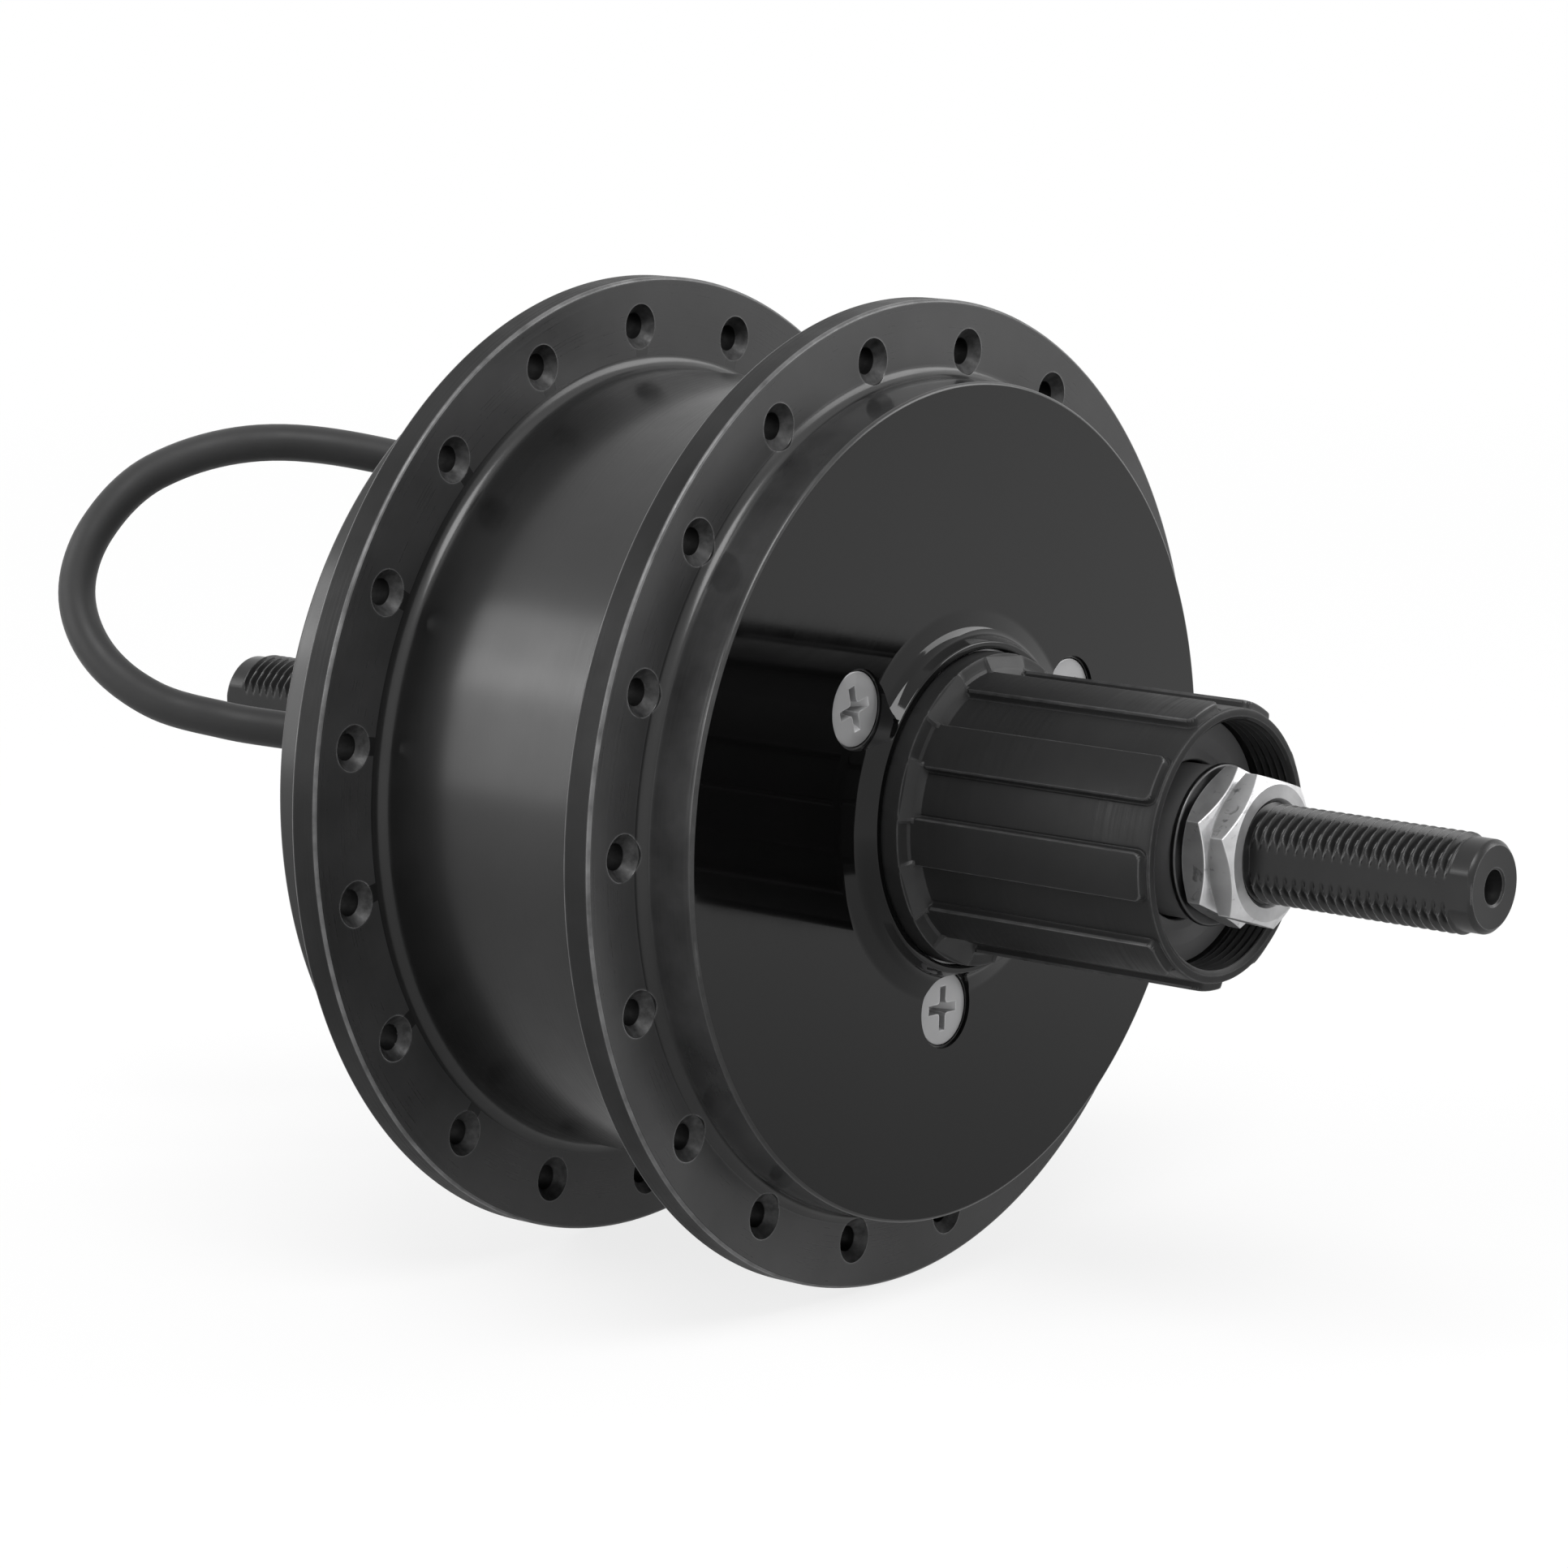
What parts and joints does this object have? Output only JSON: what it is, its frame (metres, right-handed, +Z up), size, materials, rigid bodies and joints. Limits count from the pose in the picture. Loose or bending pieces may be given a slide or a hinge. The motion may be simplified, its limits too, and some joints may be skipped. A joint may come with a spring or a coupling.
{
  "type": "rear hub motor",
  "caption": "Geared rear hub motor: flanged spoked shell, splined freehub, threaded flat-sided axle and a cable on the other side.",
  "frame": {"origin": "on the axle, midway between the two dropout faces and midway between the axle's two ends", "axes": "+Y along the axle to the cable side (-Y is the drive side with the freehub), +Z up, +X to the front"},
  "size_m": [0.1225, 0.202, 0.1224],
  "materials": {
    "anodised_black": "polished black anodising",
    "freehub_black": "satin black",
    "axle_black": "black oxide",
    "zinc": "zinc plated",
    "dark_steel": "black oxide",
    "plain_steel": "machined",
    "bearing_steel": "ground",
    "lamination": "stacked sheet",
    "cast_aluminium": "cast",
    "copper": "enamelled wire",
    "nickel": "nickel plated",
    "nylon": "moulded",
    "brass": "turned",
    "board": "solder mask",
    "black_plastic": "moulded",
    "black_rubber": "moulded",
    "grey_rubber": "moulded",
    "cable_jacket": "matt jacket"
  },
  "bodies": {
    "axle": {"axle": "axle_black", "stator_core": "lamination", "windings": "copper", "stator_carrier": "cast_aluminium", "stator_key": "bearing_steel", "hall_board": "board", "clutch_cam": "bearing_steel", "clutch_rollers": "bearing_steel", "planet_carrier": "plain_steel", "planet_pins": "bearing_steel", "pin_clips": "plain_steel", "axle_sleeves": "plain_steel", "inner_races": "bearing_steel", "outer_spacer": "black_plastic", "washer": "dark_steel", "inner_nut": "zinc", "outer_nut": "zinc", "cable_grommet": "black_rubber", "cable": "cable_jacket", "plug_body": "black_rubber", "plug_sleeve": "black_plastic", "plug_pins": "brass"},
    "shell": {"hub_shell": "anodised_black", "cable_cover": "anodised_black", "cover_screws": "plain_steel", "cover_oring": "black_rubber", "ring_gear": "bearing_steel", "ratchet_cup": "plain_steel", "drive_screws": "zinc", "shell_bearing_drive": "bearing_steel", "shell_bearing_cable": "bearing_steel", "cable_seal": "black_rubber"},
    "rotor": {"rotor_bell": "plain_steel", "magnets": "nickel", "sun_gear": "bearing_steel", "rotor_bearings": "bearing_steel"},
    "planet_1": {"planet_1": "nylon", "planet_bush_1": "brass"},
    "planet_2": {"planet_2": "nylon", "planet_bush_2": "brass"},
    "planet_3": {"planet_3": "nylon", "planet_bush_3": "brass"},
    "freehub": {"freehub_body": "freehub_black", "pawls": "bearing_steel", "pawl_spring": "bearing_steel", "freehub_bearings": "bearing_steel", "freehub_spacer": "plain_steel", "freehub_seal": "grey_rubber"}
  },
  "joints": [
    {"name": "wheel_spin", "type": "hinge", "parent": "axle", "child": "shell", "pos_m": [0, 0, 0], "axis": [0, 1, 0], "continuous": true},
    {"name": "rotor_spin", "type": "hinge", "parent": "axle", "child": "rotor", "pos_m": [0, 0, 0], "axis": [0, 1, 0], "continuous": true},
    {"name": "planet_1_spin", "type": "hinge", "parent": "axle", "child": "planet_1", "pos_m": [0, 0, 0.0255], "axis": [0, 1, 0], "continuous": true},
    {"name": "planet_2_spin", "type": "hinge", "parent": "axle", "child": "planet_2", "pos_m": [-0.02208, 0, -0.01275], "axis": [0, 1, 0], "continuous": true},
    {"name": "planet_3_spin", "type": "hinge", "parent": "axle", "child": "planet_3", "pos_m": [0.02208, 0, -0.01275], "axis": [0, 1, 0], "continuous": true},
    {"name": "freehub_spin", "type": "hinge", "parent": "shell", "child": "freehub", "pos_m": [0, 0, 0], "axis": [0, 1, 0], "continuous": true}
  ],
  "couplings": [
    {"joint": "rotor_spin", "follows": "wheel_spin", "ratio": -4.1},
    {"joint": "planet_1_spin", "follows": "wheel_spin", "ratio": 2.6452},
    {"joint": "planet_2_spin", "follows": "wheel_spin", "ratio": 2.6452},
    {"joint": "planet_3_spin", "follows": "wheel_spin", "ratio": 2.6452}
  ]
}
